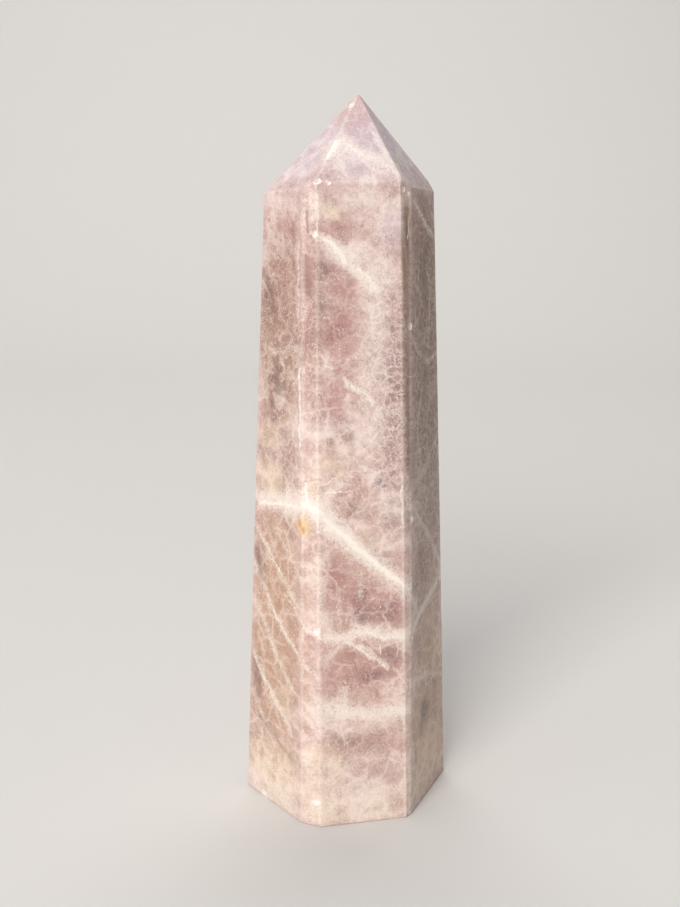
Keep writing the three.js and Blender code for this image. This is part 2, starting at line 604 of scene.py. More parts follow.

# %% [markdown]
# ## Zones
#
# On top of that come the zones. Most belong to this very stone, but three kinds are painted light. The shade
# zones are painted shade on the parts that the key light misses, with a few real dark bands and a blotch
# among them. The beige zones are partly the stone's warmer tone and partly painted warm light bounced up from
# below. The lavender zones are a painted reflection of the cool sky on the tip. Each zone has a kind, a face,
# a middle (u, z), a half width and a half height in millimetres, and a strength. Because a zone is a ball and
# not a disc, one that lies near an edge also shows on the face round the corner. The broad kinds lie smoothly
# over everything; the others are torn at their rims by mottling and grain. The net kind has no colour and
# only says where the net of cracks is dense.

# %% Zones of milk, cream, pink, dusk and brown, and of painted shade, warm bounce and sky sheen
ZONES = {
    # beige: partly the stone's warmer tone, and low on the faces painted warm light bounced up from below
    "beige_and_warm_bounce": {
        "left": [(-1, 26, 8, 26, 0.8), (-1, 66, 7, 18, 0.22)],
        "front": [(0, 26, 9, 30, 0.22)],
        "right": [(1.5, 14, 8.5, 24, 0.95)],
        "back": [(0, 25, 8, 26, 0.4)],
    },
    # painted shade: the right side and parts of the left turned from the key light, darkened in the colour;
    # the small patches low on the right and the bands on the right flat are real dark stone
    "painted_shade_and_dark_patches": {
        "right": [
            (1.8, 60, 6.6, 34, 0.85), (2.5, 40, 6, 11, 0.35), (0, 14, 1.9, 2.3, 0.95),
            (-1.2, 11.6, 1, 1.8, 0.5), (2.6, 66, 3, 7, 0.4),
        ],
        "left": [(-1.5, 68, 6, 14, 0.44), (-1, 53, 6, 6, 0.26)],
        "left flat": [(-0.3, 72, 1.3, 17, 0.4)],
        "right flat": [(0, 78, 1.1, 11, 0.85), (0, 56, 1.1, 15, 0.75)],
        "back right": [(0, 60, 6, 24, 0.4)],
    },
    "brown": {
        "left": [
            (-1.6, 79.9, 2.6, 2.8, 0.45), (-2.8, 71.6, 2.4, 2.4, 0.55), (1.4, 43.6, 1.8, 2.2, 0.5),
            (3.9, 9.3, 1.8, 1.8, 0.5), (-3.6, 12.2, 2, 2.2, 0.4),
        ],
        "front": [
            (-1.9, 46.1, 1.6, 1.4, 0.55), (-2.6, 56.4, 1.6, 1.3, 0.5), (-2.2, 52.6, 2, 1.4, 0.45),
            (-5, 55.3, 0.8, 0.8, 0.6), (-2.3, 12.5, 3.6, 1.7, 0.55), (0.5, 11.6, 2.6, 1.4, 0.45),
        ],
        "right flat": [(0.3, 82, 1.1, 5, 0.7), (0.2, 66, 1, 6, 0.5)],
        "right": [
            (-1.5, 35, 3, 7, 0.8), (1, 74, 3, 8, 0.7), (0, 58, 4, 8, 0.85), (-2.1, 25, 2.4, 3.4, 0.5),
            (3, 16, 3, 6, 0.5),
        ],
        "back left": [(-2, 60, 4, 5, 0.45)],
        "back": [(3, 20, 4, 5, 0.4)],
    },
    "pink": {
        "front": [
            (-2.6, 83.4, 2.2, 2, 0.45), (-2.6, 75.5, 2.2, 2.1, 0.65), (-2.8, 71.6, 1.9, 1.8, 0.6),
            (-4.7, 69, 2.2, 2, 0.6), (-2.1, 67.9, 1.9, 1.5, 0.55), (-4.1, 63.5, 2.2, 1.9, 0.6),
            (-5.1, 60.1, 2.2, 1.8, 0.75), (-4.6, 36.9, 2.8, 3.4, 0.9), (-1, 33.6, 5.5, 3.6, 0.85),
            (3.2, 32.4, 4, 3.6, 0.9), (-2.7, 24.6, 2.8, 2, 0.7), (1.8, 23.6, 6, 3, 0.8),
            (4.5, 2.8, 2.8, 2.4, 0.4), (2.9, 6.6, 2.6, 2, 0.5), (-4.9, 22, 2.8, 2.8, 0.45),
            (-4.4, 10.4, 3, 2.4, 0.45),
        ],
        "left flat": [(-1.5, 78, 1.4, 3.6, 0.9), (-1.7, 67.8, 1.1, 3.8, 0.9)],
        "tip front": [(1.8, 93.2, 1.4, 1.1, 0.75), (0.4, 96.7, 1.6, 1.7, 0.55)],
        "left": [(-0.2, 83.8, 2.4, 2.2, 0.5), (-1.6, 72, 4.2, 9, 0.45), (-0.5, 77.8, 1.8, 1.6, 0.7)],
    },
    "dusk": {
        "front": [
            (-5.3, 78, 1.8, 1.5, 0.5), (-5.4, 73.5, 1.6, 1.4, 0.4), (0.8, 76.6, 1, 0.8, 0.5),
            (2.2, 75.3, 1, 0.9, 0.5), (3.3, 71, 1.2, 1.2, 0.7), (3.8, 69.1, 1.2, 1.1, 0.6),
            (2.1, 63.4, 2, 1.4, 0.5), (4.2, 62.6, 1.1, 1.1, 0.85), (1, 59.8, 1, 0.8, 0.6),
            (3, 60.3, 1.1, 0.9, 0.6), (1.8, 57.6, 1, 0.9, 0.6), (2.6, 56.5, 1, 0.9, 0.6),
            (3.6, 54.3, 1.7, 1.3, 0.95), (2.1, 49.6, 1.4, 1.3, 0.9), (2.3, 38.9, 2.2, 1.6, 0.55),
            (-0.3, 34.2, 2, 1.6, 0.5), (-0.4, 31.4, 1.7, 1.5, 0.75), (3.1, 31.4, 3.4, 2, 0.6),
            (4.1, 25.1, 2.6, 1.6, 0.7), (0.6, 22.1, 1.9, 1.2, 0.65), (4.6, 60, 3.2, 22, 0.62),
            (4.6, 45, 2.6, 5, 0.5), (4.4, 58.2, 1.4, 1.6, 0.8), (5.2, 66.4, 1.2, 1.8, 0.7),
            (3.6, 51.6, 1.2, 1, 0.7), (2.9, 65.6, 1.3, 1.1, 0.7), (2.2, 59.4, 1.1, 0.9, 0.7),
        ],
        "left": [
            (-1.2, 62.8, 1.9, 2.3, 0.85), (-3.6, 73.6, 1.6, 3, 0.7), (-2.2, 58.2, 1.6, 1.4, 0.6),
            (-4.6, 36.5, 1.6, 3.6, 0.6), (-5.3, 19, 1.6, 4.4, 0.6),
        ],
        "back": [(-3, 40, 4, 5, 0.5)],
        "back right": [(2, 50, 4, 5, 0.5)],
        "right": [
            (2.6, 78.4, 2.2, 2.6, 0.8), (1.6, 61.5, 2.6, 3.4, 0.5), (0.2, 14.3, 1.6, 1.3, 0.9),
            (-0.6, 13, 1.2, 1.8, 0.7), (3.6, 70, 2.4, 4, 0.6), (1, 52, 3, 5, 0.6), (3.8, 44, 2, 4, 0.5),
        ],
        "tip right": [(-1.6, 92.3, 1.4, 1.4, 0.4)],
    },
    "cream": {
        "left": [
            (-3, 55, 3.2, 2, 0.55), (-3, 49, 4.4, 3.2, 0.75), (-1, 4.5, 7.5, 6, 0.85),
            (2.5, 7.5, 4, 3.6, 0.6), (1, 16, 2, 4, 0.35),
        ],
        "front": [
            (-4.8, 52.5, 3.8, 3, 0.45), (0, 42.3, 2, 1.7, 0.45), (-4.6, 85.3, 1.7, 1.3, 0.6),
            (-5.4, 28.6, 1.6, 0.7, 0.7), (-6, 3.6, 3.6, 4.2, 0.9), (0.5, 2.6, 7, 3.2, 0.7),
            (-5.6, 9, 2.8, 4.4, 0.7),
        ],
        "left flat": [
            (0, 48.8, 2.6, 3.2, 0.6), (0.4, 5.5, 2, 3.5, 0.6), (0.2, 4, 2.4, 4, 0.6),
            (0.2, 9.5, 2, 4.5, 0.7), (0, 36.5, 1.5, 8, 0.35), (0, 20, 1.3, 5, 0.3),
        ],
        "right": [(0, 5, 7.5, 6, 0.5)],
    },
    "milk": {
        "front": [
            (-1.2, 79.5, 3.2, 3, 0.75), (2, 77.4, 3.6, 3.4, 0.72), (1.6, 84.5, 4, 3, 0.6),
            (1, 72.6, 2.6, 2.6, 0.65), (0.6, 66, 2.6, 5, 0.45), (0.5, 86.6, 6, 1.8, 0.7),
            (0.2, 58.6, 3.4, 3, 0.6), (-2.6, 17, 2.8, 1.9, 0.8), (3.9, 16.7, 3, 1.8, 0.7),
            (-5.8, 17.5, 2.4, 2, 0.75), (0.5, 15.8, 7, 2.4, 0.5), (-4, 43.2, 2.4, 1.6, 0.5),
            (-1, 4, 7, 4, 0.55), (4.2, 42, 2.4, 3, 0.3), (2.6, 81, 2.4, 4, 0.36),
            (1.6, 69.5, 1.9, 4, 0.6), (1.2, 63.4, 1.4, 3, 0.45), (0.8, 56, 1.3, 3.2, 0.4),
            (3.4, 46.6, 1.8, 2.4, 0.35), (0.4, 50.6, 1.6, 1.6, 0.4), (-1, 8.6, 7, 3, 0.35),
        ],
        "tip front": [(0, 91, 5.5, 3.2, 0.5)],
        "left": [(0, 86, 6, 2, 0.5), (-0.7, 60.5, 1.5, 1.6, 0.75), (-2, 1.8, 8, 3, 0.5)],
        "tip left": [(1.5, 92.5, 5.5, 6, 0.6)],
        "left flat": [(-0.8, 86, 1.8, 2.6, 0.55), (-0.7, 10.3, 1.2, 1.2, 0.7)],
        "right": [(1, 2.6, 8, 3.4, 0.4)],
        "back": [(0, 70, 5, 6, 0.5)],
        "back left": [(2, 35, 5, 6, 0.5)],
        "back right": [(-1, 20, 5, 5, 0.5)],
    },
    "net": {
        "front": [(3.8, 62, 4.6, 24, 0.9), (2, 35, 5, 3, 0.4)],
        "left": [(-1, 70, 6.5, 16, 0.8)],
        "right": [(1.5, 60, 7, 32, 0.9)],
        "left flat": [(0, 66, 2, 12, 0.5)],
        "back": [(2, 66, 6, 16, 0.7)],
        "back left": [(-2, 30, 6, 18, 0.6)],
        "back right": [(1, 56, 6, 22, 0.7)],
    },
    # painted reflection: the cool sky's lavender sheen on the tip faces
    "painted_sky_sheen": {
        "tip front": [(0, 93.5, 9, 7, 0.42)],
        "tip right": [(0, 93, 8, 7, 0.75)],
        "tip left": [(0, 93, 8, 7, 0.55)],
        "tip back": [(0, 93, 9, 7, 0.6)],
        "front": [(3.8, 83.2, 2.4, 2.8, 0.4)],
    },
}

# %% Lay the zones over the body colour
# the shade colour is painted shade, beige is partly painted warm bounce light, lavender is a painted sky
# reflection
ZONE_COLOURS = {
    "beige_and_warm_bounce": srgb(190, 156, 128), "painted_shade_and_dark_patches": srgb(116, 87, 74), "brown": srgb(138, 104, 86),
    "pink": srgb(183, 137, 130), "dusk": srgb(132, 100, 102), "cream": srgb(240, 222, 196),
    "milk": srgb(242, 229, 221), "painted_sky_sheen": srgb(205, 189, 206),
}
BROAD = ("beige_and_warm_bounce", "painted_shade_and_dark_patches", "painted_sky_sheen")
ZONE_SPREAD = 1.3       # the fade makes a zone look smaller than it is
RAGGED = (0.42, 1.35)   # strength of a torn zone where the noise is low and where it is high
ragged = fade(weighted((mid_cloud, 0.52), (grain, 0.28), (sugar, 0.20)), 0.37, 0.61, *RAGGED)


def zone_group(kind, zones_by_face):
    """A shader group that says how strongly any of these zones covers a place."""
    group = new_group("zones_of_" + kind, [("Place", "NodeSocketVector", None)],
                      [("Mask", "NodeSocketFloat")])
    with wiring(group):
        spot = add("NodeGroupInput").outputs["Place"]
        mask = strongest(
            soft_patch(spot, on_face(face_name, u, z),
                       (half_width * ZONE_SPREAD, half_width * ZONE_SPREAD, half_height * ZONE_SPREAD),
                       strength)
            for face_name, zones in zones_by_face.items()
            for u, z, half_width, half_height, strength in zones)
        feed(add("NodeGroupOutput").inputs["Mask"], mask)
    return group


zone_masks = {}
for kind, zones_by_face in ZONES.items():
    mask = zone_masks[kind] = use_group(zone_group(kind, zones_by_face), {"Place": bent_near})["Mask"]
    print(sum(len(zones) for zones in zones_by_face.values()), "zones of", kind)
    if kind in ZONE_COLOURS:
        colour = blend(mask if kind in BROAD else product(mask, ragged), colour, ZONE_COLOURS[kind])

# %% [markdown]
# ## Nets of healed cracks
#
# Fine nets of healed cracks run through the whole stone, a little under the polish. The coarse one has
# cells of about three millimetres with darker cores and pale rims, the small one cells half that size.
# Neither shows everywhere: slow noises and the zones let them through in places, and the smooth pink windows
# stay free of the small one. The grain breaks the rims up, so that no line is evenly drawn.

# %% Coarse and small crackle
CRACKLE_LIGHT = srgb(240, 223, 216)
CRACKLE_DARK = srgb(148, 110, 104)
COARSE_CORE, COARSE_RIM = 0.36, 0.46    # how strongly cores darken and rims whiten
SMALL_CORE, SMALL_RIM = 0.20, 0.30


def crackle(per_mm, width, core):
    """The lines and cores of one net of cracks."""
    return use_group(crackle_group, {"Place": curly_place, "Cells per mm": per_mm,
                                     "Line width": width, "Core reach": core})


curly_place = bent(mid_place, scale=1.4, amount=0.32)
coarse = crackle(per_mm=0.33, width=0.15, core=0.42)
coarse_here = fade(deep_cloud, 0.42, 0.58, 0.25, 1.0)
colour = blend(product(coarse["Core"], coarse_here, COARSE_CORE), colour, CRACKLE_DARK)
rim = fade(weighted((coarse["Lines"], 1), (sugar, 1)), 0.85, 1.50)
colour = blend(product(rim, coarse_here, COARSE_RIM), colour, CRACKLE_LIGHT)

small = crackle(per_mm=0.72, width=0.24, core=0.50)
smooth = calc("SUBTRACT", 1.0, zone_masks["pink"])
small_here = weighted((fade(mid_cloud, 0.42, 0.62, 0.12, 1.0), 1), (zone_masks["net"], 1.1))
small_here = product(small_here, smooth)
colour = blend(product(small["Core"], small_here, SMALL_CORE), colour, CRACKLE_DARK)
rim = fade(weighted((small["Lines"], 0.8), (sugar, 1)), 0.80, 1.45)
colour = blend(product(rim, small_here, SMALL_RIM), colour, CRACKLE_LIGHT)

# %% [markdown]
# ## Hairs, fibres and sugar
#
# Curly pale hairs are the lines along which a noise is exactly half way, like the height lines of a map.
# Long pale fibres, which run down to the right, come from a noise that is stretched along that direction.
# Last comes the sugar: points of light and dark, densest where the stone is milky or cracked.

# %% Curls and hairs
CURL_WIDTH, HAIR_WIDTH = 0.028, 0.030   # how far from half way a noise still counts as the line
curl = cloud(curly_place, scale=0.75, detail=2.0, rough=0.5)[0]
curl_here = weighted((fade(sugar, 0.38, 0.62, 0.0, 0.52), 1), (zone_masks["net"], 0.30))
colour = blend(product(ridge(curl, CURL_WIDTH), curl_here), colour, CRACKLE_LIGHT)
hair_here = product(fade(curl, 0.42, 0.60, 0.06, 0.50), smooth)
hair_here = weighted((hair_here, 1), (zone_masks["net"], 0.34))
colour = blend(product(ridge(grain, HAIR_WIDTH), hair_here), colour, CRACKLE_LIGHT)

# %% Fibres and sugar
FIBRE_WAY = (0.42, -0.10, -0.90)
FIBRE_STRETCH = 0.82    # how much of the way along a fibre is taken out of the noise
FIBRE_WIDTH, FIBRE_STRENGTH = 0.035, 0.32
along_fibre = vcalc("SCALE", FIBRE_WAY, scale=vcalc("DOT_PRODUCT", bent_near, FIBRE_WAY))
fibre_place = vcalc("SUBTRACT", bent_near, vcalc("SCALE", along_fibre, scale=FIBRE_STRETCH))
fibre_line = ridge(cloud(fibre_place, scale=1.9, detail=2.0, rough=0.6)[0], FIBRE_WIDTH)
fibre_here = fade(mid_cloud, 0.60, 0.40)
colour = blend(product(fibre_line, fibre_here, FIBRE_STRENGTH), colour, CRACKLE_LIGHT)

sugar_here = weighted((zone_masks["milk"], 0.20), (smooth, 0.13), (zone_masks["net"], 0.16))
colour = blend(product(fade(sugar, 0.54, 0.70), sugar_here), colour, CRACKLE_LIGHT)
colour = blend(product(fade(sugar, 0.44, 0.28), sugar_here), colour, CRACKLE_DARK)

# %% [markdown]
# ## Painted shade and warm bounce at the sides
#
# The right side, which the key light misses, and the shaded parts of the left are darkened with painted
# shade. The same zones also deepen a few real dark patches. The lower faces and most of the left are warmed
# with beige, which is partly the stone's own tone and partly painted warm light bounced up from below. These
# two broad zones are laid over the finished texture once more, multiplied, like a tinted glass: lights and
# darks keep their proportion.

# %% Tint the two sides with painted shade and warm bounce
PAINTED_SHADE_TINT = (0.73, 0.63, 0.51, 1.0)
BEIGE_AND_WARM_BOUNCE_TINT = (0.94, 0.85, 0.77, 1.0)
# painted shade, multiplied over the shade zones
colour = blend(zone_masks["painted_shade_and_dark_patches"], colour, PAINTED_SHADE_TINT, "MULTIPLY")
# beige multiplied over its zones: the stone's own tone together with painted warm bounce light
colour = blend(zone_masks["beige_and_warm_bounce"], colour, BEIGE_AND_WARM_BOUNCE_TINT, "MULTIPLY")

# %% [markdown]
# ## Veins
#
# The boldest marks are cracks that healed with milky quartz. Each is drawn as a stroke along a face: the
# points it runs through, its width, and how strong it is. A curve node holds the run of the stroke, and a
# second one fades its ends, so a stroke of many bends costs no more than a straight one. The strokes of one
# face make one node group, which keeps the material tidy and quick to wire, and they lie only a millimetre
# or so deep, so that they don't shine through to the face behind.

# %% The stroke helper
STROKE_MARGIN = 0.5     # mm beside the stroke that its curve also covers
STROKE_SOFTNESS = 1.6   # widths at which a stroke has faded out
STEEPEST = 2.0          # a stroke isn't widened for its slope any further than this
STROKE_ENDS = [(0, 0), (0.04, 0.5), (0.12, 1), (0.88, 1), (0.96, 0.5), (1, 0)]
STROKE_DEPTHS = (1.6, 0.5)      # mm under the face: gone from here down, full from here up


def curve_node(value, spots):
    """A smooth curve through these (in, out) spots, both from 0 to 1, and level beyond them."""
    made = add("ShaderNodeFloatCurve")
    made.mapping.extend = "HORIZONTAL"
    line = made.mapping.curves[0]
    while len(line.points) < len(spots):
        line.points.new(0.5, 0.5)
    for point, spot in zip(line.points, spots):
        point.location = spot
        point.handle_type = "AUTO_CLAMPED"
    made.mapping.update()
    feed(made.inputs["Value"], value)
    return made.outputs[0]


def stroke(u, z, spots, width, strength):
    """How strongly a stroke through these (u, z) spots covers a place."""
    across = max(s[0] for s in spots) - min(s[0] for s in spots)
    up = max(s[1] for s in spots) - min(s[1] for s in spots)
    along, aside, a, b = (u, z, 0, 1) if across > up else (z, u, 1, 0)
    spots = sorted(spots, key=lambda s: s[a])
    a_low, a_high = spots[0][a], spots[-1][a]
    b_low = min(s[b] for s in spots) - STROKE_MARGIN
    b_high = max(s[b] for s in spots) + STROKE_MARGIN
    run = rescale(along, a_low, a_high)
    line = curve_node(run, [((s[a] - a_low) / (a_high - a_low), (s[b] - b_low) / (b_high - b_low))
                            for s in spots])
    gap = calc("ABSOLUTE", calc("SUBTRACT", rescale(aside, b_low, b_high), line))
    slope = math.hypot(a_high - a_low, spots[-1][b] - spots[0][b]) / (a_high - a_low)
    reach = width * min(slope, STEEPEST) / (b_high - b_low)
    body = fade(gap, STROKE_SOFTNESS * reach, 0.0, 0.0, strength)
    return product(body, curve_node(run, STROKE_ENDS))


# %% The strokes of a face, and of all faces
def strokes_group(name, face_name, drawn):
    """A shader group with all these strokes of one face; it fades out under that face."""
    group = new_group(name, [("Place", "NodeSocketVector", None), ("Bent place", "NodeSocketVector", None)],
                      [("Mask", "NodeSocketFloat")])
    with wiring(group):
        spot = add("NodeGroupInput").outputs
        face = faces[face_name]
        u = vcalc("DOT_PRODUCT", spot["Bent place"], tuple(float(x) for x in face["across"]))
        z = vcalc("DOT_PRODUCT", spot["Bent place"], (0.0, 0.0, 1.0))
        mask = strongest(stroke(u, z, *one) for one in drawn)
        level = vcalc("DOT_PRODUCT", spot["Place"], tuple(float(x) for x in face["out"]))
        shallow = fade(calc("SUBTRACT", face["dist"], level), *STROKE_DEPTHS)
        feed(add("NodeGroupOutput").inputs["Mask"], product(mask, shallow))
    return group


def strokes_mask(kind, marks):
    """The strokes of one kind on all faces together."""
    print(kind + ":", sum(len(drawn) for drawn in marks.values()))
    return strongest(
        use_group(strokes_group(kind + "_on_" + face_name.replace(" ", "_"), face_name, drawn),
                  {"Place": place, "Bent place": bent_near})["Mask"]
        for face_name, drawn in marks.items())


broken = weighted((grain, 1.1), (sugar, 0.9))       # breaks every stroke up into grains

# %% [markdown]
# First come the wide soft hazes that lie along the veins. The boldest crosses the whole stone at half
# height: from the left edge it runs almost level, from the narrow flat it drops across the front to the
# right edge, and it goes on round the back.

# %% Hazes along the veins
HAZE_WHITE = srgb(242, 230, 220)
HAZE_STRENGTH = 0.95
HAZES = {
    "left": [
        ([(-6.2, 45.3), (-2, 46), (1.2, 46.4), (5.4, 46.6)], 1.7, 0.7),
        ([(0.6, 46.2), (3, 46.5), (5.8, 46.8)], 2.4, 0.75),
        ([(-6.2, 42.2), (-2.3, 38), (1.6, 34.6), (4.8, 31.2)], 0.7, 0.42),
        ([(-6.4, 37), (-3.4, 32.4), (-0.2, 28.9), (5, 25)], 0.8, 0.5),
        ([(-6.6, 31.5), (-3, 27), (0.4, 22.6), (4.8, 18.4)], 0.8, 0.42),
        ([(-6.9, 23), (-3.1, 18.5), (1.4, 14.9), (4, 12.4)], 0.8, 0.5),
        ([(-1.2, 42.6), (2, 39), (5, 36.2)], 0.5, 0.36),
        ([(-6.9, 16.4), (-3.4, 12.6), (1, 9.4)], 0.6, 0.35),
        ([(-4, 6.8), (0.4, 4.6), (4, 3.6)], 0.8, 0.4),
        ([(-5.2, 67.6), (-2, 66.6), (1.6, 67.6), (4.8, 66.8)], 0.7, 0.35),
    ],
    "left flat": [
        ([(-2, 46.9), (-0.4, 46.5), (1.2, 46.1)], 2.4, 0.75), ([(-1.6, 29.6), (1.4, 28.4)], 0.6, 0.6),
        ([(-1.6, 24.6), (1.4, 22.4)], 0.5, 0.4),
    ],
    "front": [
        ([(-7.2, 46.6), (-5, 44.3), (-3, 42.3), (-0.5, 40), (1.2, 38.5), (3.5, 36.4),
          (7.2, 33)], 1.3, 0.75),
        ([(-7.4, 46.6), (-5.4, 45), (-3.4, 43), (-1.6, 41.4)], 2, 0.85),
        ([(1.6, 38), (3.6, 36.2), (7, 33.4)], 1.8, 0.6),
        ([(-6.4, 47), (-4, 49.4), (-1.6, 50.6)], 0.8, 0.4),
        ([(-6.6, 43.8), (-4.6, 42.6), (-2.4, 42.6)], 1, 0.5),
        ([(-6.6, 83), (-4.8, 81.6), (-2.8, 79.2), (-1.6, 77.8), (0.2, 76.6), (1.8, 74)], 1.1, 0.7),
        ([(-3.3, 63.9), (-2.2, 62.9), (-0.5, 62), (1.4, 60.2)], 0.7, 0.6),
        ([(-6.4, 29), (-4.6, 28.2), (-2.4, 28.3), (-0.5, 28.8), (1, 28.5), (3.3, 28),
          (7, 27.6)], 1.1, 0.7),
        ([(-6.6, 17.8), (-2.6, 17.2), (0.5, 16.4), (3.9, 16.8), (7.2, 16.2)], 1.3, 0.6),
        ([(-4.4, 28.4), (-2.7, 27.6), (0.1, 25.4), (1.5, 24.4)], 0.5, 0.55),
        ([(-1.4, 27), (0.4, 25.9), (3.4, 22.8)], 0.5, 0.5), ([(-3, 21.4), (-3.2, 18)], 0.9, 0.45),
        ([(-1, 37.8), (-0.6, 33.2)], 0.5, 0.35), ([(-3.9, 34.8), (-3.6, 30)], 0.5, 0.35),
        ([(-6.6, 30.2), (-6.4, 40.5)], 0.9, 0.35), ([(5.6, 27), (5.2, 20), (5.8, 12)], 0.7, 0.35),
    ],
    "right flat": [([(-1, 33.4), (1, 31.6)], 0.8, 0.5)],
    "tip front": [
        ([(-4.8, 91.2), (-2.9, 93.2), (-2, 94.6)], 1.3, 0.55),
        ([(-2.4, 94), (-1.1, 93.3), (0.3, 92.3), (2, 91.9), (3.5, 90.9), (5.2, 89)], 1, 0.55),
        ([(2, 95.6), (3, 93.2), (4.2, 91.2), (6.2, 88.3)], 0.5, 0.6),
        ([(-3.6, 90), (-2.6, 91.4), (-1.8, 92.6)], 0.7, 0.4),
        ([(-1, 88.4), (0.6, 88.9), (1.6, 88.4)], 0.9, 0.55),
        ([(0.4, 91), (1.8, 90.2), (3.4, 89.8)], 0.5, 0.4),
    ],
    "right": [
        ([(-5, 26.6), (-3.6, 28.2), (-1.6, 29.3), (6.3, 32.3)], 0.8, 0.6),
        ([(-5.2, 33.4), (-3.4, 31.4), (-1.8, 29.2)], 0.8, 0.5), ([(-2.3, 86.9), (5.6, 81.1)], 0.6, 0.5),
        ([(-6, 73), (-0.5, 66.5), (3.4, 65), (7.5, 65.8)], 0.6, 0.4),
        ([(-6, 47), (1.5, 50.4), (8, 55.5)], 0.6, 0.36),
        ([(-6, 47.6), (0.5, 41.8), (7.8, 33.4)], 0.6, 0.4), ([(-6.5, 20), (0, 19.4), (8, 16)], 0.7, 0.4),
        ([(-4.6, 84), (-3.6, 76), (-4.2, 68)], 0.5, 0.4), ([(2, 80), (3.4, 73), (2.6, 66)], 0.4, 0.36),
        ([(0.5, 62), (-1.5, 56), (0, 50)], 0.4, 0.36),
    ],
    "back": [
        ([(-8.8, 46.2), (-3, 49.4), (2, 50.8), (8.8, 51.6)], 1.2, 0.65),
        ([(-8, 78), (0, 71), (8, 66.4)], 0.8, 0.45),
        ([(-8.5, 28), (-2, 23), (4, 20.4), (8.5, 20.8)], 0.9, 0.5),
        ([(-7, 64), (0, 58.4), (7, 54.6)], 0.6, 0.4),
    ],
    "back left": [
        ([(-8.8, 51.6), (-2, 50.4), (3, 48.4), (8.8, 45.2)], 1.3, 0.65),
        ([(-7, 38), (0, 30.4), (7, 24.6)], 0.7, 0.45), ([(-7.6, 27), (0, 19.4), (7.6, 13.4)], 0.8, 0.45),
        ([(-6.4, 72), (0, 67.6), (6.4, 67)], 0.7, 0.4),
    ],
    "back right": [
        ([(-8.8, 31.6), (-2, 36.4), (3, 41), (8.8, 46.4)], 1.1, 0.65),
        ([(-7, 81.5), (0, 79.4), (7, 76)], 0.7, 0.45), ([(-8, 16), (0, 21.4), (8, 27.6)], 0.8, 0.45),
        ([(-7, 64.8), (0, 62), (7, 63.6)], 0.6, 0.4),
    ],
    "tip back": [([(-5, 90), (-1, 92.6), (3, 91.4)], 0.8, 0.5)],
    "tip back right": [([(-4, 91), (0, 93.6), (3.4, 90)], 0.7, 0.5)],
    "tip back left": [([(-3.4, 89.6), (0.4, 92), (2.4, 95)], 0.8, 0.5)],
}
haze = fade(weighted((strokes_mask("haze", HAZES), 1), (broken, 1)), 1.04, 1.90)
colour = blend(product(haze, HAZE_STRENGTH), colour, HAZE_WHITE)

# %% [markdown]
# Beside the white veins, and most of all on the shaded side, run short smoky streaks, where a crack filled
# with darker quartz or with iron. They are strokes like the hazes, only shorter, darker and less sure.

# %% Brown streaks beside them
STREAK_BROWN = srgb(122, 88, 78)
STREAK_STRENGTH = 0.62
STREAKS = {
    "left flat": [
        ([(-1.5, 85.4), (-1.4, 82.4)], 0.3, 0.9), ([(-1.8, 80), (-1.2, 74.2)], 0.8, 0.7),
        ([(-1.6, 70.2), (-1.8, 65.4)], 0.5, 0.6),
    ],
    "right flat": [
        ([(-0.2, 86.4), (0.2, 78), (-0.3, 69)], 0.6, 0.8),
        ([(0.3, 68), (-0.2, 58), (0.2, 47)], 0.6, 0.75), ([(-0.8, 46), (0.4, 40)], 0.5, 0.6),
    ],
    "right": [
        ([(-4.9, 84), (-3.6, 74), (-4.6, 63)], 1, 0.7),
        ([(3.2, 81.6), (1.4, 76.5), (2.8, 71.5)], 1.4, 0.8),
        ([(0.4, 68), (1.6, 62.5), (0.2, 58.5)], 1, 0.65), ([(-1.4, 39), (-0.4, 33.4)], 0.9, 0.65),
        ([(-4, 56), (-2.6, 47)], 0.9, 0.6), ([(4.6, 59), (3.6, 50)], 0.8, 0.6),
        ([(-4.4, 12.6), (-3.4, 6.6)], 0.5, 0.6), ([(-0.6, 15), (1.4, 13.8)], 0.7, 0.8),
    ],
    "left": [
        ([(-4.6, 78), (-2.2, 71.5)], 1, 0.65), ([(-1.8, 66.4), (-0.8, 60.6)], 1, 0.8),
        ([(-3.4, 64), (-2.4, 58.6)], 0.7, 0.6), ([(-5.8, 38.4), (-4, 33)], 0.8, 0.7),
        ([(-5.8, 21.4), (-4.4, 15)], 0.9, 0.7), ([(-5.6, 13), (-1, 11), (4.6, 8.6)], 0.8, 0.55),
        ([(1.4, 84.6), (2, 77)], 0.7, 0.5),
    ],
    "front": [([(-4.4, 44.6), (-2.6, 43.9)], 0.3, 0.5), ([(-6, 80.6), (-5.4, 77.2)], 0.8, 0.4)],
    "back": [([(-3.6, 43), (-1.4, 36)], 1, 0.6), ([(3, 78), (4.2, 69)], 0.9, 0.6)],
    "back right": [([(-4, 74), (-2.4, 66)], 1, 0.6), ([(2.6, 52), (4, 44)], 0.9, 0.6)],
    "back left": [([(-3, 63), (-1.6, 55)], 1, 0.6), ([(2.4, 24), (3.6, 15)], 0.9, 0.6)],
}
streak = fade(weighted((strokes_mask("streak", STREAKS), 1), (broken, 1)), 1.10, 2.00)
colour = blend(product(streak, STREAK_STRENGTH), colour, STREAK_BROWN)

# %% [markdown]
# In the middle of the hazes lies the healed crack itself, a thin line of nearly pure white. The same stroke
# helper draws it, a fifth to a third as wide, and the grain that breaks it up is weaker, so that the line
# stays sharp where it is strong and dissolves where it is faint.

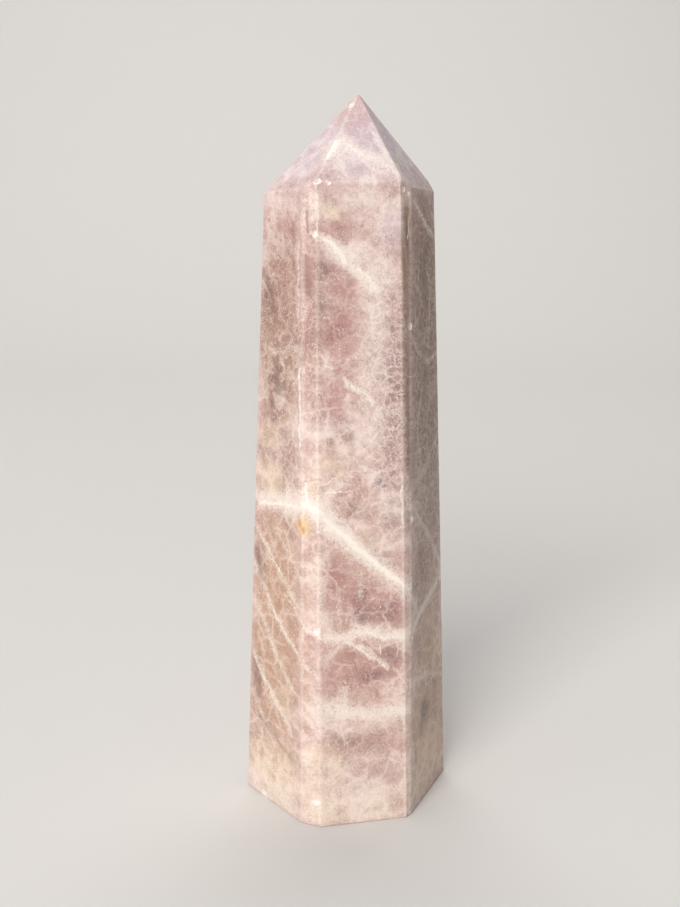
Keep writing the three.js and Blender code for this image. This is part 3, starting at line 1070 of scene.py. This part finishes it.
# %% White lines in the veins
VEIN_WHITE = srgb(249, 241, 232)
VEIN_STRENGTH = 0.85
LINES = {
    "left": [
        ([(-5.9, 44.9), (1.2, 46.1), (5.2, 46.2)], 0.34, 0.8), ([(2.7, 82), (3.2, 70.5)], 0.25, 0.6),
        ([(3.6, 66), (3.9, 60), (4, 53.6)], 0.34, 0.75),
        ([(-4.8, 40.3), (-2.3, 38.4), (1.6, 34.8)], 0.26, 0.55),
        ([(-3.4, 32.4), (-0.2, 28.9), (3.6, 26.1), (5.2, 24.8)], 0.3, 0.52),
        ([(0.9, 33.7), (4, 31.2), (5.4, 30.2)], 0.24, 0.6),
        ([(-6.5, 22), (-3.1, 18.5), (1.4, 14.9), (2.9, 13)], 0.3, 0.52),
        ([(-6.4, 31), (-2.6, 26.4), (0.6, 22.3)], 0.22, 0.45), ([(-5.6, 43.2), (-3.6, 41.6)], 0.2, 0.45),
        ([(2.2, 20.8), (4.6, 18.6)], 0.2, 0.45), ([(-6, 14.6), (-3.4, 12.4), (-0.4, 10.6)], 0.2, 0.4),
        ([(-1, 66), (0.8, 64.2)], 0.16, 0.6),
    ],
    "left flat": [
        ([(-2, 46.8), (-0.4, 46.4), (1.2, 46)], 0.6, 1), ([(-0.6, 43.3), (1, 43.4)], 0.3, 0.6),
        ([(-1.4, 50), (-1.3, 48.4), (-0.7, 46.8)], 0.3, 0.9), ([(0.1, 2.4), (0.3, 0.6)], 0.12, 0.5),
    ],
    "front": [
        ([(-6.8, 46.2), (-5, 44.3), (-3, 42.4), (-0.5, 40.2), (1.2, 38.7), (3.5, 36.6),
          (6.9, 33.4)], 0.45, 0.9),
        ([(-5.9, 43.6), (-5, 43.7), (-4.2, 43.4)], 0.5, 0.7), ([(-6.2, 87.9), (-6.3, 81.4)], 0.15, 0.75),
        ([(-5.6, 82.2), (-4.7, 81.4), (-2.8, 79.2), (-2.5, 78.4)], 0.42, 0.85),
        ([(-2.5, 78.5), (-0.6, 77.6), (0.4, 76.6), (1, 75)], 0.42, 0.7),
        ([(-6, 71.7), (-3.8, 72.3), (-3.1, 73.2)], 0.24, 0.42),
        ([(-6.2, 76.7), (-5.3, 76.3), (-4.3, 76.9)], 0.24, 0.4),
        ([(-3.5, 67), (-2.8, 66.5), (-0.8, 66.8), (-0.2, 67.2)], 0.22, 0.42),
        ([(-3.6, 68.9), (-3.5, 66.8)], 0.22, 0.4), ([(-6.1, 65.4), (-3.8, 65.4)], 0.34, 0.5),
        ([(-3.3, 63.9), (-2.2, 62.9), (-0.5, 62), (1.4, 60)], 0.24, 0.55),
        ([(-0.5, 62.2), (-0.1, 63.6), (1.1, 64.4)], 0.22, 0.4),
        ([(3.3, 63.2), (4.3, 61.9), (5.2, 62.3)], 0.2, 0.45), ([(-3.7, 61.8), (-3, 60.8)], 0.2, 0.45),
        ([(-4.3, 59.2), (-2.6, 59.6)], 0.2, 0.4), ([(-6.2, 48.7), (-1.8, 48.5)], 0.15, 0.7),
        ([(-3.4, 51.3), (3.2, 51.3)], 0.16, 0.5), ([(-6.6, 49.6), (-5.3, 49.9), (-4, 50.7)], 0.16, 0.7),
        ([(5, 49.6), (5.1, 43.2)], 0.16, 0.7),
        ([(-1.4, 28.2), (-0.5, 28.7), (1.2, 28.2), (3.3, 27.7), (5.6, 27.4)], 0.3, 0.6),
        ([(-2.7, 27.8), (0.1, 25.4), (1.2, 24.6)], 0.22, 0.55),
        ([(-1.4, 27), (0.1, 25.9), (2.9, 23.1)], 0.22, 0.55), ([(2.1, 27), (2.1, 25.2)], 0.13, 0.8),
        ([(-3.8, 12.8), (-3.8, 9.8)], 0.14, 0.45),
    ],
    "right flat": [([(0.5, 84.8), (0.4, 81.4)], 0.16, 0.7)],
    "right": [
        ([(-2.3, 86.9), (1.6, 84.3), (5.6, 81.1)], 0.25, 0.6),
        ([(2.3, 63.8), (3.3, 64.5), (5.6, 65.4)], 0.22, 0.5),
        ([(-4.7, 28.2), (-1.6, 29.1), (6.3, 30.3)], 0.25, 0.5), ([(-0.2, 37.6), (2.4, 34.8)], 0.2, 0.4),
    ],
    "tip front": [
        ([(-4.3, 92.1), (-3.2, 93), (-2, 94.2)], 0.4, 0.55),
        ([(-2, 94.1), (-1.1, 93.3), (0.3, 92.3), (2, 91.9), (3.5, 90.9), (4.9, 89.1)], 0.24, 0.55),
    ],
    "tip left": [([(4.4, 91.4), (3.1, 94.3)], 0.3, 0.9), ([(1, 93.6), (2.3, 90.2)], 0.2, 0.5)],
    "back": [
        ([(-8.8, 46.2), (-3, 49.4), (2, 50.8), (8.8, 51.6)], 0.34, 0.7),
        ([(-6, 76.2), (0, 71), (5, 68)], 0.24, 0.5), ([(-7, 26.6), (-2, 23), (4, 20.4)], 0.24, 0.55),
        ([(-2, 36), (3, 31), (6, 30)], 0.22, 0.45),
    ],
    "back left": [
        ([(-8.8, 51.6), (-2, 50.4), (3, 48.4), (8.8, 45.2)], 0.34, 0.7), ([(-4, 66), (3, 60)], 0.22, 0.5),
        ([(-6, 36.9), (0, 30.4), (5.4, 25.8)], 0.26, 0.55),
        ([(-6.4, 25.8), (0, 19.4), (6, 14.6)], 0.26, 0.5),
    ],
    "back right": [
        ([(-8.8, 31.6), (-2, 36.4), (3, 41), (8.8, 46.4)], 0.34, 0.7),
        ([(-4, 80.8), (3, 77.8)], 0.22, 0.5), ([(-5, 63.8), (0, 62), (5, 63.2)], 0.24, 0.5),
        ([(-6, 17.4), (0, 21.4), (5, 25.2)], 0.26, 0.5),
    ],
}
line_mask = fade(weighted((strokes_mask("line", LINES), 1), (broken, 0.8)), 1.06, 1.70)
colour = blend(product(line_mask, VEIN_STRENGTH), colour, VEIN_WHITE)

# %% [markdown]
# ## Stains and painted glints
#
# Iron has got into one crack near the left edge and left a small orange stain with a yellow halo. All over
# the stone, tiny flat flaws catch the light; these glints are painted as white points. A Voronoi texture
# gives one point for each cell, and the cell's own random colour picks the few that shine.

# %% The iron stain
STAINS = (              # u on the left face, z, size, colour, strength
    (4.9, 43.9, (1.7, 1.7, 2.1), srgb(236, 206, 148), 0.70),
    (4.5, 44.3, (0.66, 0.66, 0.90), srgb(214, 142, 66), 0.95),
    (4.9, 43.4, (0.50, 0.50, 0.80), srgb(198, 120, 52), 0.90),
)
for u, z, size, tint, strength in STAINS:
    colour = blend(soft_patch(bent_near, on_face("left", u, z), size, strength), colour, tint)

# %% Sparkles, painted as white glints
PAINTED_GLINT_WHITE = srgb(255, 250, 245)
SPARKLES_PER_MM = 0.85
PAINTED_GLINT_STRENGTH = 0.85
SPARKLE_RADII = (0.10, 0.04)    # of a cell: dark from here out, white from here in
SPARKLE_PICK = (0.66, 0.70)     # cells with a number above this have one
dots = add("ShaderNodeTexVoronoi", feature="F1")
feed(dots.inputs["Vector"], place)
feed(dots.inputs["Scale"], SPARKLES_PER_MM)
dot_pick = add("ShaderNodeSeparateColor")
feed(dot_pick.inputs[0], dots.outputs["Color"])
painted_glint = product(fade(dots.outputs["Distance"], *SPARKLE_RADII), fade(dot_pick.outputs[0], *SPARKLE_PICK))
# painted glints: white points where flat flaws would catch the light
colour = blend(product(painted_glint, PAINTED_GLINT_STRENGTH), colour, PAINTED_GLINT_WHITE)

# %% [markdown]
# ## Worn edges and painted edge light
#
# Along every edge the polish is rubbed through and the light gathers in the thin corner of stone. Both are
# painted into the colour: a fine pale line, partly wear and partly painted highlight, with a faint painted
# glow beside it. The edge attribute of the skin says where, and the chip attribute whitens the broken
# hollows.

# %% Pale edges, partly painted highlight, a painted edge glow, and chips
EDGE_WEAR_AND_HIGHLIGHT_WHITE = srgb(250, 240, 230)
CHIP_WHITE = srgb(250, 244, 240)
PAINTED_EDGE_GLOW_REACH = (0.9, 0.1)    # mm from the edge: nothing from here out, full from here in
EDGE_WEAR_AND_HIGHLIGHT_REACH = (0.24, 0.08)
PAINTED_EDGE_GLOW, EDGE_WEAR_AND_HIGHLIGHT = 0.10, 0.22       # how strong they are
edge_reader = add("ShaderNodeAttribute", attribute_type="GEOMETRY", attribute_name="edge_distance")
chip_reader = add("ShaderNodeAttribute", attribute_type="GEOMETRY", attribute_name="chip")
painted_edge_glow = fade(edge_reader.outputs["Fac"], *PAINTED_EDGE_GLOW_REACH)
edge_wear_and_highlight = product(fade(edge_reader.outputs["Fac"], *EDGE_WEAR_AND_HIGHLIGHT_REACH), fade(grain, 0.36, 0.60, 0.15, 1.0))
# painted glow of the light gathered in the thin edge
colour = blend(product(painted_edge_glow, PAINTED_EDGE_GLOW), colour, MILK)
# pale edge line: rubbed polish and a painted highlight
colour = blend(product(edge_wear_and_highlight, EDGE_WEAR_AND_HIGHLIGHT), colour, EDGE_WEAR_AND_HIGHLIGHT_WHITE)
chip_white = product(chip_reader.outputs["Fac"], fade(sugar, 0.36, 0.58, 0.05, 0.75))
colour = blend(chip_white, colour, CHIP_WHITE)

# %% [markdown]
# ## The finish
#
# Polished quartz reflects like window glass, sharply but not perfectly: smudges and hair-fine scratches
# spread the reflection a little, and in chips it is dull. Under the polish the light wanders a few
# millimetres before it comes out again, further for red than for blue, which is what subsurface scattering
# does. The stone isn't made see-through, because its clouds hide whatever is behind it.

# %% The polished surface
POLISHED_ROUGHNESS = (0.13, 0.26)       # clean and smudged
CHIP_ROUGHNESS = 0.22                   # more in a chip
GRIND_MARKS = 1.4                       # per mm
QUARTZ_IOR = 1.54
LIGHT_WANDERS = 2.0                     # mm, for red; less for green and blue
shader = add("ShaderNodeBsdfPrincipled")
smudge = cloud(bent_near, scale=0.16, detail=4.0, rough=0.6)[0]
roughness = fade(smudge, 0.30, 0.70, *POLISHED_ROUGHNESS)
roughness = weighted((roughness, 1), (chip_reader.outputs["Fac"], CHIP_ROUGHNESS))
bump = add("ShaderNodeBump")
feed(bump.inputs["Strength"], 0.12)
feed(bump.inputs["Distance"], 0.02 * MM)
feed(bump.inputs["Height"], cloud(place, scale=GRIND_MARKS, detail=3.0, rough=0.6)[0])
feed(shader.inputs["Base Color"], colour)
feed(shader.inputs["Roughness"], roughness)
feed(shader.inputs["Normal"], bump.outputs[0])
feed(shader.inputs["IOR"], QUARTZ_IOR)
feed(shader.inputs["Subsurface Weight"], 0.15)
feed(shader.inputs["Subsurface Radius"], (1.0, 0.62, 0.50))
feed(shader.inputs["Subsurface Scale"], LIGHT_WANDERS * MM)
feed(add("ShaderNodeOutputMaterial").inputs["Surface"], shader.outputs[0])
skin.materials.append(material)
print("material nodes:", len(tree.nodes))

# %% [markdown]
# The finished skin takes the measured stone's place, is known under its material slot, and rests on the
# only body that there is. Its object was never moved, turned or scaled, so both lie in the same frame.

# %% Tie the stone to the measured model
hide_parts("quartz_point")
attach(stone, "root")

# %% [markdown]
# ## Floor
#
# The stone stands on a plain pale sheet that curves up behind it, as in a product photograph. The sheet is
# one strip of faces along a profile: level, a quarter circle, and straight up.

# %% The pale sweep
PAPER = srgb(220, 217, 213)
FLOOR_HALF = 0.9        # m, half of the floor's width
SWEEP_START = 0.35      # m behind the stone
SWEEP_RADIUS = 0.35     # m
SWEEP_TOP = 1.2         # m
SWEEP_STEPS = 16
profile = [(-FLOOR_HALF, 0.0), (SWEEP_START, 0.0)]
for i in range(1, SWEEP_STEPS + 1):
    turn = math.pi / 2 * i / SWEEP_STEPS
    profile.append((SWEEP_START + SWEEP_RADIUS * math.sin(turn), SWEEP_RADIUS * (1 - math.cos(turn))))
profile.append((SWEEP_START + SWEEP_RADIUS, SWEEP_TOP))
sweep_points = [(x, y, z) for y, z in profile for x in (-FLOOR_HALF, FLOOR_HALF)]
sweep_faces = [(2 * i, 2 * i + 1, 2 * i + 3, 2 * i + 2) for i in range(len(profile) - 1)]
sweep_mesh = bpy.data.meshes.new("pale_sweep")
sweep_mesh.from_pydata(sweep_points, [], sweep_faces)
for polygon in sweep_mesh.polygons:
    polygon.use_smooth = True
sweep = bpy.data.objects.new("pale_sweep", sweep_mesh)
bpy.context.scene.collection.objects.link(sweep)
paper = bpy.data.materials.new("pale_paper")
paper.use_nodes = True
paper_shader = paper.node_tree.nodes["Principled BSDF"]
paper_shader.inputs["Base Color"].default_value = PAPER
paper_shader.inputs["Roughness"].default_value = 0.85
sweep_mesh.materials.append(paper)
print("sweep:", len(sweep_faces), "faces")

# %% [markdown]
# ## Light
#
# A large soft light stands in front and a little to the left, a cool one hangs above, and a third behind the
# stone brightens the sweep. The right side gets only what bounces back, so the right face stays dark and
# deep in colour. A very weak warm glow from everywhere keeps the shadows from going black.

# %% Lights
LIGHT_AIM = 0.05        # m above the floor, the middle of the stone
LIGHTS = (              # name, azimuth as for the faces, elevation, distance and size (m), power (W), colour
    ("key_light", -22, 27, 1.3, 0.7, 16.4, (1.0, 0.975, 0.94)),
    ("top_light", -40, 74, 1.1, 0.9, 3.6, (0.86, 0.91, 1.0)),
    ("backdrop_light", 178, 50, 0.9, 0.8, 4.2, (1.0, 0.98, 0.96)),
)
for name, azimuth, elevation, distance, size, power, tint in LIGHTS:
    lamp = bpy.data.lights.new(name, "AREA")
    lamp.shape = "SQUARE"
    lamp.size = size
    lamp.energy = power
    lamp.color = tint
    stand = bpy.data.objects.new(name, lamp)
    turn, lift = math.radians(azimuth), math.radians(elevation)
    aim = Vector((math.sin(turn) * math.cos(lift), -math.cos(turn) * math.cos(lift), math.sin(lift)))
    stand.location = aim * distance + Vector((0, 0, LIGHT_AIM))
    stand.rotation_euler = aim.to_track_quat("Z", "Y").to_euler()
    bpy.context.scene.collection.objects.link(stand)

world = bpy.data.worlds.new("studio")
world.use_nodes = True
glow = world.node_tree.nodes["Background"]
glow.inputs["Color"].default_value = (1.0, 0.95, 0.88, 1.0)
glow.inputs["Strength"].default_value = 0.05
bpy.context.scene.world = world
print("lights:", [light[0] for light in LIGHTS])

# %% [markdown]
# ## Camera
#
# The camera stands a hand's width in front of the stone and looks down on it a little, as someone who holds
# a phone to it would. Its lens is given as a focal length in pixels, because that is what can be worked out
# from a picture; the sensor's height turns it into millimetres.

# %% The camera
CAMERA_PLACE = (0.011, -152.892, 89.287)        # mm
CAMERA_DOWN, CAMERA_ROLL, CAMERA_TURN = 13.997, 0.205, -0.472       # degrees
FOCAL_PIXELS, PICTURE_HEIGHT = 1104.02, 907

down, roll, turned = (math.radians(x) for x in (CAMERA_DOWN, CAMERA_ROLL, CAMERA_TURN))
ahead = Vector((math.sin(turned) * math.cos(down), math.cos(turned) * math.cos(down), -math.sin(down)))
level_right = Vector((math.cos(turned), -math.sin(turned), 0))
level_up = level_right.cross(ahead)
right = math.cos(roll) * level_right + math.sin(roll) * level_up
up = -math.sin(roll) * level_right + math.cos(roll) * level_up
camera_data = bpy.data.cameras.new("camera")
camera_data.sensor_fit = "VERTICAL"
camera_data.sensor_height = 24.0
camera_data.lens = FOCAL_PIXELS / PICTURE_HEIGHT * camera_data.sensor_height
camera_data.clip_start = 0.01
camera = bpy.data.objects.new("camera", camera_data)
turn_matrix = Matrix((right, up, -ahead)).transposed().to_4x4()
camera.matrix_world = Matrix.Translation(Vector(CAMERA_PLACE) * MM) @ turn_matrix
bpy.context.scene.collection.objects.link(camera)
bpy.context.scene.camera = camera
bpy.context.scene.view_settings.view_transform = "Standard"
print("lens, mm:", round(camera_data.lens, 2))
